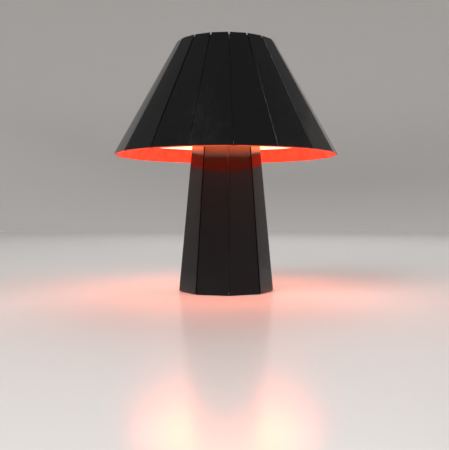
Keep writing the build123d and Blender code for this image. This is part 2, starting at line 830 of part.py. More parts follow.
with BuildPart() as switch_button:
    with BuildSketch(switch_plane.offset(switch_flange_h - button_seat)):
        Circle(button_r)
    extrude(amount=button_seat + button_proud)
    fillet(switch_button.faces().sort_by(Axis.Y)[-1].edges(), radius=1.0)
finish(switch_button.part, "switch_button")

terminal_depth = switch_barrel_h + switch_body_h
with BuildPart() as switch_terminals:
    with BuildSketch(switch_plane.offset(-terminal_depth)):
        with Locations((-terminal_gap / 2, 0), (terminal_gap / 2, 0)):
            Rectangle(terminal_thick, terminal_w)
    extrude(amount=-terminal_length)
finish(switch_terminals.part, "switch_terminals")

# ---------------------------------------------------------------- leads
with BuildPart() as neutral_connector:
    with BuildSketch(Plane.XY.offset(weight_top_z)):
        with Locations((connector_x, connector_y)):
            RectangleRounded(connector_w, connector_l, radius=small_round)
    extrude(amount=connector_h)
    with BuildSketch(Plane.XY.offset(weight_top_z + connector_h)):
        with Locations((connector_x, connector_y)):
            Circle(connector_screw_r)
    extrude(amount=-connector_screw_r, mode=Mode.SUBTRACT)
finish(neutral_connector.part, "neutral_connector")

# Both leads run from their terminal into the stem's side hole and up its bore. Each point
# is (across, distance behind the axis, height).
lead_run = 10.0
terminal_end = -terminal_depth - terminal_length
live_route = [
    switch_plane.from_local_coords((terminal_gap / 2, 0, terminal_end)),
    switch_plane.from_local_coords((terminal_gap / 2, 0, terminal_end - lead_run)),
    Vector(lead_spread, 2 * lead_run, lead_hole_z - lead_spread),
    Vector(lead_spread, lead_run, lead_hole_z),
    Vector(lead_spread, 0, lead_hole_z),
    Vector(lead_spread, 0, contact_block_z),
]
live_bends = [lead_bend_r, lead_bend_r, lead_bend_r, lead_turn_r]
with BuildPart() as lead_live:
    with BuildLine() as live_line:
        FilletPolyline(*live_route, radius=live_bends)
    with BuildSketch(Plane(origin=live_line.line @ 0, z_dir=live_line.line % 0)):
        Circle(lead_r)
    sweep()
finish(lead_live.part, "lead_live")

neutral_z = weight_top_z + connector_h / 2
neutral_front_y = connector_y - connector_l / 2
neutral_route = [
    Vector(connector_x, neutral_front_y, neutral_z),
    Vector(connector_x, neutral_front_y - lead_run, neutral_z),
    Vector(connector_x + lead_run / 2, neutral_front_y - lead_run / 2, lead_hole_z - lead_r),
    Vector(-lead_spread, lead_run, lead_hole_z),
    Vector(-lead_spread, 0, lead_hole_z),
    Vector(-lead_spread, 0, contact_block_z),
]
neutral_bends = [lead_bend_r, lead_bend_r, lead_bend_r / 2, lead_turn_r]
with BuildPart() as lead_neutral:
    with BuildLine() as neutral_line:
        FilletPolyline(*neutral_route, radius=neutral_bends)
    with BuildSketch(Plane(origin=neutral_line.line @ 0, z_dir=neutral_line.line % 0)):
        Circle(lead_r)
    sweep()
finish(lead_neutral.part, "lead_neutral")
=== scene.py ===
import json
import math

import bmesh
import bpy
import numpy as np
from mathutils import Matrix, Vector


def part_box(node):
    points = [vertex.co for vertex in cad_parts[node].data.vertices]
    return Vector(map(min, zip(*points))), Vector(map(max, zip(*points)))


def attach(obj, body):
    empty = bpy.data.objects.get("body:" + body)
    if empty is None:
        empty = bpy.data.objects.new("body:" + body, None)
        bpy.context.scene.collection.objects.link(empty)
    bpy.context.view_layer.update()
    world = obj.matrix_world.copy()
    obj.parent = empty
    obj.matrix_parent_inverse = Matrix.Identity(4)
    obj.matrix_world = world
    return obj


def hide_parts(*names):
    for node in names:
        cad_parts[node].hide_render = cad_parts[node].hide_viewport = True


# Finishes and detailed pieces of a table lamp folded from card: an eighteen-sided shade on a
# nine-sided column. Metres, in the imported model's frame: the origin is on the table at the
# column's axis, +Z is up, and the front seams of both sheets face -Y. Angles are counted from
# that front, anticlockwise from above.

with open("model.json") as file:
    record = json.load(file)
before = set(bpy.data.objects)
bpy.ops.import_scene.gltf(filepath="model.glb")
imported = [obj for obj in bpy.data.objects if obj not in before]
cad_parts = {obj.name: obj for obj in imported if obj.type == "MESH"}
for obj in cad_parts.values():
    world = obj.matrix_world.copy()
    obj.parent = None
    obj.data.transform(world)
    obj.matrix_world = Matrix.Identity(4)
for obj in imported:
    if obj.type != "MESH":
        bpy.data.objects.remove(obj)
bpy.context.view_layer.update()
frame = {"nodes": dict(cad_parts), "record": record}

MM = 0.001
MERGE = 0.002 * MM  # points nearer than this are one point

# ---- the lamp's own sizes
# Shade and column: radii to the corners of the outer sheet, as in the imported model.
SHADE_SIDES = 18
RIM_R = 185.0 * MM
RIM_Z = 226.0 * MM
SHADE_TOP_R = 82.0 * MM
SHADE_TOP_Z = 410.0 * MM
SHADE_SLOPE = (RIM_R - SHADE_TOP_R) / (SHADE_TOP_Z - RIM_Z)
COLUMN_SIDES = 9
FOOT_R = 79.8 * MM
COLUMN_SLOPE = 0.0933
COLUMN_FOOT_Z = 1.5 * MM
COLUMN_TOP_Z = 247.7 * MM

# Card and pleats.
CARD = 0.8 * MM
PLEAT_MOUTH = 2.4 * MM
PLEAT_DEPTH = 2.2 * MM
NOTCH_DEPTH = 3.2 * MM
SEAM_GAP = 0.5 * MM
SEAM_TAPER_Z = 155.0 * MM
SEAM_TOP_GAP = 2.0 * MM
SEAM_TOP_Z = 248.0 * MM
FOLD_ROUND = 0.55 * MM
GROOVE_ROUND = 0.12 * MM
SHADE_BOW = 0.45 * MM
SHADE_BOW_SPREAD = 0.25 * MM
COLUMN_BOW = 0.16 * MM

# Liner: setbacks of its two faces from the outer corner, its hem, fold and sag.
LINER_OUTER = 4.7 * MM
LINER_INNER = 5.4 * MM
LINER_TOP_Z = 400.5 * MM
HEM_Z = 224.7 * MM
HEM_TOP_Z = 225.95 * MM
HEM_INSET = 0.15 * MM
HEM_ROUND = 0.5 * MM
LINER_FOLD = 0.7 * MM
LINER_CREASE = 1.2 * MM
LINER_SAG = 0.3 * MM
GLUE = 0.1 * MM

# Points along each eased corner of a sheet, and along the flat between two corners.
CORNER_STEPS = 5
PANEL_STEPS = 9
ACROSS_PANEL = np.arange(1, PANEL_STEPS + 1) / (PANEL_STEPS + 1)

# Rows of points up each sheet, round the liner's fold, and along a turned piece's corner.
SHADE_ROWS = 26
COLUMN_ROWS = 28
LINER_ROWS = 20
FOLD_ROWS = 5
PROFILE_STEPS = 4
SMOOTH_ANGLE = math.radians(38.0)

# Rear fittings: heights on the rear panel, and the holes cut for them.
GLAND_Z = 20.0 * MM
SWITCH_Z = 44.0 * MM
FITTING_HOLE_R = 6.0 * MM
HOLE_REACH = 4.0 * MM
HOLE_SIDES = 48


def shade_corner(z):
    """Radius of the shade's outer corners: it falls evenly with height."""
    return RIM_R - (z - RIM_Z) * SHADE_SLOPE


def column_corner(z):
    """Radius of the column's outer corners: it falls evenly with height."""
    return FOOT_R - z * COLUMN_SLOPE


# ---- node helpers
def add(tree, kind, inputs=None, **settings):
    """Adds a node, sets its options, and fills or links the inputs named."""
    node = tree.nodes.new(kind)
    for name, value in settings.items():
        setattr(node, name, value)
    for name, value in (inputs or {}).items():
        socket = node.inputs[name]
        if isinstance(value, bpy.types.NodeSocket):
            tree.links.new(value, socket)
        else:
            socket.default_value = value
    return node


def maths(tree, operation, first, second=0.0):
    """The result socket of one Math node."""
    inputs = {0: first, 1: second}
    return add(tree, "ShaderNodeMath", inputs, operation=operation).outputs[0]


def span(tree, value, low, high, to_low=0.0, to_high=1.0):
    """Value mapped from low..high onto to_low..to_high, held at both ends."""
    inputs = {"Value": value, 1: low, 2: high, 3: to_low, 4: to_high}
    return add(tree, "ShaderNodeMapRange", inputs).outputs[0]


def blend_colour(tree, share, first, second):
    """Mixes two colours by a share from 0 to 1. The Mix node's colour sockets share their
    names with its float ones, so they are set by place."""
    node = tree.nodes.new("ShaderNodeMix")
    node.data_type = "RGBA"
    tree.links.new(share, node.inputs[0])
    for place, colour in ((6, first), (7, second)):
        if isinstance(colour, bpy.types.NodeSocket):
            tree.links.new(colour, node.inputs[place])
        else:
            node.inputs[place].default_value = (*colour, 1.0)
    return node.outputs[2]


def noise(tree, vector, scale, detail=3.0, roughness=0.5):
    """The factor of a noise texture, its scale in repeats per metre."""
    inputs = {"Vector": vector, "Scale": scale, "Detail": detail, "Roughness": roughness}
    return add(tree, "ShaderNodeTexNoise", inputs).outputs["Fac"]


def stretched(tree, vector, scale):
    """The vector scaled apart along each axis, so that a pattern is drawn out."""
    return add(tree, "ShaderNodeMapping", {"Vector": vector, "Scale": scale}).outputs[0]


def scaled_by(tree, vector, scale):
    """The vector scaled evenly, so that a whole pattern shrinks or grows."""
    inputs = {0: vector, "Scale": scale}
    return add(tree, "ShaderNodeVectorMath", inputs, operation="SCALE").outputs[0]


def axis_distance(tree, parts):
    """Distance from the lamp's axis: the length of the X and Y parts of a place."""
    flat = add(tree, "ShaderNodeCombineXYZ", {"X": parts["X"], "Y": parts["Y"]}).outputs[0]
    return add(tree, "ShaderNodeVectorMath", {0: flat}, operation="LENGTH").outputs["Value"]


def group(name, values, outputs):
    """A new node group that takes a vector and named values, and gives named numbers."""
    tree = bpy.data.node_groups.new(name, "ShaderNodeTree")
    new_socket = tree.interface.new_socket
    new_socket(name="Vector", in_out="INPUT", socket_type="NodeSocketVector")
    for label, value in values.items():
        socket = new_socket(name=label, in_out="INPUT", socket_type="NodeSocketFloat")
        socket.default_value = value
    for label in outputs:
        new_socket(name=label, in_out="OUTPUT", socket_type="NodeSocketFloat")
    start = tree.nodes.new("NodeGroupInput")
    end = tree.nodes.new("NodeGroupOutput")
    return tree, start.outputs, end.inputs


def place_group(tree, shared, place, **values):
    """Places a shared group in a material, with its own values where they are given."""
    node = add(tree, "ShaderNodeGroup", node_tree=shared)
    tree.links.new(place, node.inputs["Vector"])
    for name, value in values.items():
        node.inputs[name].default_value = value
    return node.outputs


def bump(tree, height, depth, normal=None):
    """A bump from a height of 0 to 1 that stands depth metres high."""
    inputs = {"Height": height, "Distance": depth, "Strength": 1.0}
    if normal is not None:
        inputs["Normal"] = normal
    return add(tree, "ShaderNodeBump", inputs).outputs[0]


def new_material(name, **values):
    """A material with one Principled shader, its uniform values set on its own sockets."""
    material = bpy.data.materials.new(name)
    material.use_nodes = True
    tree = material.node_tree
    shader = tree.nodes["Principled BSDF"]
    for label, value in values.items():
        shader.inputs[label.replace("_", " ")].default_value = value
    place = add(tree, "ShaderNodeTexCoord").outputs["Object"]
    return material, tree, shader, place


def finished(material, colour, rough, normal):
    """The material with a colour, a roughness and a normal linked into its shader."""
    tree = material.node_tree
    shader = tree.nodes["Principled BSDF"]
    for value, name in ((colour, "Base Color"), (rough, "Roughness"), (normal, "Normal")):
        tree.links.new(value, shader.inputs[name])
    return material


# ---- shared effects
def make_fold_lines():
    """Mask of the fold lines of a sheet with equal sides: 1 on a fold, 0 beyond a width.
    The angle about the axis, in sides, has its distance to the nearest whole number taken,
    and that becomes metres by the radius."""
    tree, given, result = group("Fold lines", {"Sides": 18.0, "Width": 2.0 * MM}, ["Mask"])
    parts = add(tree, "ShaderNodeSeparateXYZ", {0: given["Vector"]}).outputs
    behind = maths(tree, "MULTIPLY", parts["Y"], -1.0)
    angle = maths(tree, "ARCTAN2", parts["X"], behind)
    sides = maths(tree, "MULTIPLY", angle, maths(tree, "DIVIDE", given["Sides"], math.tau))
    shifted = maths(tree, "ADD", sides, 0.5)
    away = maths(tree, "ABSOLUTE", maths(tree, "SUBTRACT", maths(tree, "FRACT", shifted), 0.5))
    one_side = maths(tree, "DIVIDE", math.tau, given["Sides"])
    side_length = maths(tree, "MULTIPLY", axis_distance(tree, parts), one_side)
    distance = maths(tree, "MULTIPLY", away, side_length)
    tree.links.new(span(tree, distance, 0.0, given["Width"], 1.0, 0.0), result["Mask"])
    return tree


def make_fibres():
    """Paper fibres and clouds: fine noise drawn out along two directions over soft blotches."""
    tree, given, result = group("Paper fibres", {"Scale": 1.0}, ["Clouds", "Fibres"])
    scaled = scaled_by(tree, given["Vector"], given["Scale"])
    clouds = noise(tree, scaled, 95.0, 4.0, 0.62)
    along = noise(tree, stretched(tree, scaled, (1.0, 1.0, 0.22)), 1500.0, 2.0)
    across = noise(tree, stretched(tree, scaled, (0.25, 0.25, 1.0)), 1300.0, 2.0)
    fibres = maths(tree, "MULTIPLY", maths(tree, "ADD", along, across), 0.5)
    tree.links.new(clouds, result["Clouds"])
    tree.links.new(fibres, result["Fibres"])
    return tree


def make_handling():
    """Marks of handling: broad soft smears broken by finer ones, as a roughness share."""
    tree, given, result = group("Handling marks", {"Scale": 1.0}, ["Smears"])
    scaled = scaled_by(tree, given["Vector"], given["Scale"])
    broad = noise(tree, scaled, 22.0, 2.0)
    fine = noise(tree, stretched(tree, scaled, (1.0, 1.0, 0.35)), 160.0, 4.0, 0.6)
    both = maths(tree, "MULTIPLY", broad, fine)
    tree.links.new(span(tree, both, 0.16, 0.40), result["Smears"])
    return tree


def make_turning():
    """Tool marks of turned or drawn metal: noise kept in thin rings stacked along Z."""
    tree, given, result = group("Turning lines", {"Scale": 1.0}, ["Lines"])
    thin = scaled_by(tree, stretched(tree, given["Vector"], (0.04, 0.04, 1.0)), given["Scale"])
    tree.links.new(noise(tree, thin, 2600.0, 3.0, 0.6), result["Lines"])
    return tree


fold_lines = make_fold_lines()
fibres = make_fibres()
handling = make_handling()
turning = make_turning()


# ---- materials
def black_card(name, sides):
    """Black film-laminated card: nearly black, glossy, faintly wavy, with a matt charcoal core
    where the sheet is cut and a hair of wear on the folds."""
    material, tree, _, place = new_material(name, IOR=1.4)
    core = add(tree, "ShaderNodeAttribute", attribute_name="cut").outputs["Fac"]
    paper = place_group(tree, fibres, place)
    smears = place_group(tree, handling, place)["Smears"]
    folds = place_group(tree, fold_lines, place, Sides=sides, Width=1.7 * MM)["Mask"]
    chips = span(tree, noise(tree, place, 420.0, 4.0, 0.7), 0.56, 0.70)
    wear = maths(tree, "MULTIPLY", maths(tree, "MULTIPLY", folds, chips), 0.35)
    face = blend_colour(tree, paper["Clouds"], (0.0030, 0.0028, 0.0030), (0.0055, 0.0050, 0.0052))
    worn = blend_colour(tree, wear, face, (0.085, 0.072, 0.066))
    board = blend_colour(tree, paper["Fibres"], (0.022, 0.018, 0.017), (0.050, 0.043, 0.040))
    colour = blend_colour(tree, core, worn, board)
    glossy = span(tree, smears, 0.0, 1.0, 0.085, 0.17)
    rough = span(tree, core, 0.0, 1.0, glossy, 0.85)
    waves = bump(tree, noise(tree, place, 26.0, 1.0), 0.22 * MM)
    skin = bump(tree, noise(tree, place, 900.0, 2.0), 0.0035 * MM, waves)
    return finished(material, colour, rough, skin)


def orange_paper():
    """Orange-red paper: soft mottling, darker fibres, and painted crease shade along each fold."""
    material, tree, _, place = new_material("orange_paper", IOR=1.42)
    paper = place_group(tree, fibres, place)
    folds = place_group(tree, fold_lines, place, Sides=SHADE_SIDES, Width=0.9 * MM)["Mask"]
    clouds = span(tree, paper["Clouds"], 0.34, 0.66)
    base = blend_colour(tree, clouds, (0.84, 0.066, 0.026), (0.98, 0.128, 0.062))
    threads = span(tree, paper["Fibres"], 0.42, 0.66, 0.0, 0.35)
    body = blend_colour(tree, threads, base, (0.70, 0.05, 0.02))
    # Painted shade: each fold line is darkened by up to 0.45 towards a deeper red, standing in for
    # shade in the crease.
    colour = blend_colour(tree, maths(tree, "MULTIPLY", folds, 0.45), body, (0.55, 0.04, 0.018))
    rough = span(tree, paper["Fibres"], 0.3, 0.7, 0.52, 0.78)
    tooth = bump(tree, paper["Fibres"], 0.03 * MM)
    cockle = bump(tree, noise(tree, place, 60.0, 2.0), 0.18 * MM, tooth)
    return finished(material, colour, rough, cockle)


def opal_diffuser():
    """Opal acrylic lit from above: its underside glows most round the middle and fades from
    hot_r over warm_r to dim_r; its upper face is calmer, with faint clouding in both."""
    material, tree, shader, place = new_material(
        "opal_diffuser", Roughness=0.32, IOR=1.49, Emission_Strength=16.0
    )
    hot_r, warm_r, dim_r = 105.0 * MM, 135.0 * MM, 160.0 * MM
    parts = add(tree, "ShaderNodeSeparateXYZ", {0: place}).outputs
    clouds = noise(tree, place, 45.0, 3.0)
    ragged = span(tree, clouds, 0.2, 0.8, -6.0 * MM, 6.0 * MM)
    radius = maths(tree, "ADD", axis_distance(tree, parts), ragged)
    middle = span(tree, radius, hot_r, warm_r)
    edge = span(tree, radius, warm_r, dim_r)
    glow = blend_colour(tree, middle, (1.0, 0.15, 0.03), (0.50, 0.09, 0.052))
    glow = blend_colour(tree, edge, glow, (0.10, 0.066, 0.047))
    low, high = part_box("diffuser_disc")
    upper = span(tree, parts["Z"], low.z * 0.4 + high.z * 0.6, high.z)
    glow = blend_colour(tree, upper, glow, (0.085, 0.050, 0.028))
    tree.links.new(glow, shader.inputs["Emission Color"])
    body = blend_colour(tree, span(tree, clouds, 0.2, 0.8), (0.62, 0.56, 0.48), (0.68, 0.62, 0.54))
    tree.links.new(body, shader.inputs["Base Color"])
    return material


def opal_glass():
    """Lit opal glass: brightest at the middle of the globe, calmer towards the neck."""
    material, tree, shader, place = new_material(
        "opal_glass", Roughness=0.12, IOR=1.5, Emission_Strength=2.4, Coat_Weight=0.4
    )
    parts = add(tree, "ShaderNodeSeparateXYZ", {0: place}).outputs
    low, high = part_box("bulb_globe")
    share = span(tree, parts["Z"], low.z, low.z + (high.z - low.z) * 0.55)
    veil = noise(tree, place, 70.0, 2.0)
    hot = blend_colour(tree, veil, (1.0, 0.56, 0.30), (1.0, 0.62, 0.35))
    glow = blend_colour(tree, share, (0.50, 0.20, 0.09), hot)
    tree.links.new(glow, shader.inputs["Emission Color"])
    body = blend_colour(tree, veil, (0.80, 0.77, 0.72), (0.86, 0.84, 0.80))
    tree.links.new(body, shader.inputs["Base Color"])
    return material


def moulding(name, dark, light, least_rough, grain):
    """Moulded plastic with a fine sparked grain, a little glossier where it was handled."""
    material, tree, _, place = new_material(name, IOR=1.5)
    speck = noise(tree, place, 1500.0, 3.0, 0.6)
    colour = blend_colour(tree, noise(tree, place, 60.0, 2.0), dark, light)
    smears = place_group(tree, handling, place, Scale=2.0)["Smears"]
    rough = span(tree, smears, 0.0, 1.0, least_rough, least_rough + 0.14)
    return finished(material, colour, rough, bump(tree, speck, grain))


def metal(name, dark, light, least_rough, lines, stain, stain_share):
    """Bare or plated metal: turned lines in its roughness, and a thin uneven stain."""
    material, tree, _, place = new_material(name, Metallic=1.0)
    smears = place_group(tree, handling, place, Scale=4.0)["Smears"]
    marks = place_group(tree, turning, place)["Lines"]
    bright = blend_colour(tree, noise(tree, place, 240.0, 3.0), dark, light)
    patch = span(tree, noise(tree, place, 130.0, 4.0, 0.65), 0.50, 0.72, 0.0, stain_share)
    colour = blend_colour(tree, patch, bright, stain)
    streaks = maths(tree, "MULTIPLY", maths(tree, "SUBTRACT", marks, 0.5), lines)
    worn = span(tree, smears, 0.0, 1.0, least_rough, least_rough + 0.12)
    rough = maths(tree, "ADD", worn, streaks)
    return finished(material, colour, rough, bump(tree, marks, 0.004 * MM))


def cast_iron():
    """Painted casting: a coarse sand-cast skin under thin black paint."""
    material, tree, _, place = new_material("cast_iron", IOR=1.5)
    sand = noise(tree, place, 520.0, 4.0, 0.6)
    pits = add(tree, "ShaderNodeTexVoronoi", {"Vector": place, "Scale": 300.0}).outputs["Distance"]
    colour = blend_colour(tree, sand, (0.055, 0.055, 0.062), (0.11, 0.11, 0.118))
    rough = span(tree, sand, 0.3, 0.7, 0.45, 0.75)
    skin = bump(tree, pits, 0.12 * MM, bump(tree, sand, 0.15 * MM))
    return finished(material, colour, rough, skin)


def glazed(name, dark, light, least_rough):
    """Glazed ceramic or black glass: an even colour with a faintly rippled, shiny skin."""
    material, tree, _, place = new_material(name, IOR=1.52)
    cloud = noise(tree, place, 180.0, 3.0)
    colour = blend_colour(tree, cloud, dark, light)
    rough = span(tree, cloud, 0.2, 0.8, least_rough, least_rough + 0.1)
    return finished(material, colour, rough, bump(tree, noise(tree, place, 350.0, 1.0), 0.02 * MM))


def felt():
    """Pressed wool felt: crossed hairs, flecks and a soft sheen."""
    material, tree, _, place = new_material(
        "felt", Sheen_Weight=0.35, Sheen_Roughness=0.6, IOR=1.3
    )
    one_way = noise(tree, stretched(tree, place, (1.0, 0.12, 0.5)), 1900.0, 3.0)
    other_way = noise(tree, stretched(tree, place, (0.14, 1.0, 0.5)), 1700.0, 3.0)
    hairs = maths(tree, "MAXIMUM", one_way, other_way)
    flecks = span(tree, hairs, 0.45, 0.75)
    colour = blend_colour(tree, flecks, (0.022, 0.022, 0.026), (0.085, 0.085, 0.092))
    rough = span(tree, hairs, 0.4, 0.8, 0.85, 1.0)
    return finished(material, colour, rough, bump(tree, hairs, 0.35 * MM))


def grey_board():
    """Uncoated dark grey board: recycled fibre with darker flecks."""
    material, tree, _, place = new_material("grey_board", IOR=1.4)
    paper = place_group(tree, fibres, place)
    base = blend_colour(tree, paper["Clouds"], (0.020, 0.019, 0.018), (0.031, 0.030, 0.029))
    fleck = span(tree, noise(tree, place, 900.0, 2.0), 0.62, 0.70, 0.0, 0.8)
    colour = blend_colour(tree, fleck, base, (0.011, 0.010, 0.010))
    rough = span(tree, paper["Fibres"], 0.3, 0.7, 0.8, 0.95)
    return finished(material, colour, rough, bump(tree, paper["Fibres"], 0.05 * MM))


# Darker and lighter colour, least roughness, depth of the grain.
MOULDINGS = {
    "black_moulding": ((0.020, 0.020, 0.022), (0.030, 0.030, 0.032), 0.34, 0.012 * MM),
    "button_black": ((0.026, 0.026, 0.028), (0.036, 0.036, 0.038), 0.22, 0.004 * MM),
    "grey_moulding": ((0.034, 0.033, 0.032), (0.046, 0.045, 0.044), 0.45, 0.012 * MM),
    "lead_brown": ((0.16, 0.06, 0.022), (0.21, 0.085, 0.032), 0.32, 0.004 * MM),
    "lead_blue": ((0.022, 0.12, 0.42), (0.032, 0.16, 0.50), 0.32, 0.004 * MM),
}
# Darker and lighter colour, least roughness, strength of its lines, colour and share of stain.
METALS = {
    "zinc_steel": ((0.52, 0.54, 0.58), (0.70, 0.71, 0.73), 0.30, 0.10, (0.55, 0.50, 0.40), 0.25),
    "brass": ((0.78, 0.52, 0.19), (0.86, 0.62, 0.27), 0.16, 0.16, (0.42, 0.24, 0.09), 0.35),
    "nickel": ((0.70, 0.68, 0.64), (0.80, 0.79, 0.76), 0.12, 0.06, (0.55, 0.52, 0.46), 0.15),
}
# Darker and lighter colour, least roughness.
GLAZES = {
    "ceramic": ((0.80, 0.78, 0.73), (0.88, 0.87, 0.84), 0.14),
    "black_glass": ((0.018, 0.018, 0.03), (0.03, 0.03, 0.045), 0.06),
}
materials = {
    "black_card": black_card("black_card", SHADE_SIDES),
    "orange_paper": orange_paper(),
    "opal_diffuser": opal_diffuser(),
    "opal_glass": opal_glass(),
    "grey_board": grey_board(),
    "cast_iron": cast_iron(),
    "felt": felt(),
}
for make, table in ((moulding, MOULDINGS), (metal, METALS), (glazed, GLAZES)):
    materials.update({name: make(name, *values) for name, values in table.items()})
column_card = black_card("black_card_column", COLUMN_SIDES)

for part in frame["record"]["subparts"]:
    node = frame["nodes"][part["node"]]
    for material_slot in node.material_slots:
        material_slot.material = materials[part["material_slot"]]
slot_of = {part["node"]: part["material_slot"] for part in frame["record"]["subparts"]}
slot_of["harp_wire"] = "brass"  # plated like its ferrules and seat
bodies = frame["record"]["behaviour"]["bodies"]
body_of = {node: body for body, nodes in bodies.items() for node in nodes}


# ---- mesh helpers
def grid_faces(rows, columns, first=0):
    """Quads of a grid of points numbered row by row, facing the way along x up points."""
    index = first + np.arange(rows * columns).reshape(rows, columns)
    quads = np.stack([index[:-1, :-1], index[:-1, 1:], index[1:, 1:], index[1:, :-1]], axis=-1)
    return quads.reshape(-1, 4)


def merge_points(mesh):
    """Merges the points of a mesh that lie on each other, and drops faces with no area."""
    edit = bmesh.new()
    edit.from_mesh(mesh)
    bmesh.ops.remove_doubles(edit, verts=edit.verts, dist=MERGE)
    bmesh.ops.dissolve_degenerate(edit, dist=MERGE, edges=edit.edges)
    edit.to_mesh(mesh)
    edit.free()


def show(name, data):
    """A new object with the given data, linked into the scene at the origin."""
    thing = bpy.data.objects.new(name, data)
    bpy.context.scene.collection.objects.link(thing)
    return thing


def dress(name, node, mesh, material=None):
    """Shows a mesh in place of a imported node, on that node's body and with its slot."""
    slot = slot_of[node]
    mesh.materials.clear()
    mesh.materials.append(material or materials[slot])
    piece = show(name, mesh)
    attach(piece, body_of[node])
    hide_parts(node)
    return piece


def mesh_piece(name, node, points, faces, material=None, merge=False):
    """A piece from points and faces, smooth up to an angle between faces."""
    mesh = bpy.data.meshes.new(name)
    mesh.from_pydata(points.reshape(-1, 3).tolist(), [], faces.tolist())
    if merge:
        merge_points(mesh)
    mesh.validate()
    mesh.shade_smooth()
    mesh.set_sharp_from_angle(angle=SMOOTH_ANGLE)
    return dress(name, node, mesh, material)


def turned_place(radius, across, angle):
    """Points at a radius, moved sideways by across, at an angle from the front (-Y)."""
    x = radius * np.sin(angle) + across * np.cos(angle)
    y = across * np.sin(angle) - radius * np.cos(angle)
    return np.stack(np.broadcast_arrays(x, y), axis=-1)


# ---- folded sheets
def soften(before, corner, after, reach, steps):
    """A corner eased into a curve: a parabola that leaves the line to the corner `reach`
    before it and joins the next line `reach` past it."""
    to_before = before - corner
    to_after = after - corner
    start = corner + to_before * (reach / np.linalg.norm(to_before, axis=-1, keepdims=True))
    end = corner + to_after * (reach / np.linalg.norm(to_after, axis=-1, keepdims=True))
    share = np.linspace(0.0, 1.0, steps)[:, None]
    start, corner, end = start[:, None], corner[:, None], end[:, None]
    return (1 - share) ** 2 * start + 2 * share * (1 - share) * corner + share**2 * end


def pleated_line(sides, corner_r, inset, fold_reach, groove_reach):
    """Outline of one sheet with a square pleat at each corner, from one end of the sheet in
    the front pleat's floor, round the lamp, to the other end. Each panel's two folds and two
    groove corners are eased, and points are spread evenly over the flat between them."""
    half_turn = math.pi / sides
    half_mouth = PLEAT_MOUTH / 2 + inset
    lip_r = corner_r - inset / math.cos(half_turn) - half_mouth * math.tan(half_turn)
    floor_r = corner_r - PLEAT_DEPTH - inset
    turn = np.arange(sides) * math.tau / sides
    next_turn = turn + math.tau / sides
    floor_mid = turned_place(floor_r, 0.0, turn)
    floor_right = turned_place(floor_r, half_mouth, turn)
    lip_right = turned_place(lip_r, half_mouth, turn)
    lip_left = turned_place(lip_r, -half_mouth, next_turn)
    floor_left = turned_place(floor_r, -half_mouth, next_turn)
    floor_mid_next = turned_place(floor_r, 0.0, next_turn)
    groove_out = soften(floor_mid, floor_right, lip_right, groove_reach, CORNER_STEPS)
    fold_out = soften(floor_right, lip_right, lip_left, fold_reach, CORNER_STEPS)
    fold_in = soften(lip_right, lip_left, floor_left, fold_reach, CORNER_STEPS)
    groove_in = soften(lip_left, floor_left, floor_mid_next, groove_reach, CORNER_STEPS)
    share = ACROSS_PANEL[:, None]
    flat = fold_out[:, -1:] * (1 - share) + fold_in[:, :1] * share
    cells = np.concatenate([groove_out, fold_out, flat, fold_in, groove_in], axis=1)
    end = turned_place(floor_r, 0.0, np.zeros(1))
    return np.concatenate([end, cells.reshape(-1, 2), end])


def across_cell():
    """Share of the way across the flat for each point of one side of a sheet, which is two
    corners, the flat and two corners: 0 at the corners."""
    corners = np.zeros(2 * CORNER_STEPS)
    return np.concatenate([corners, ACROSS_PANEL, corners])


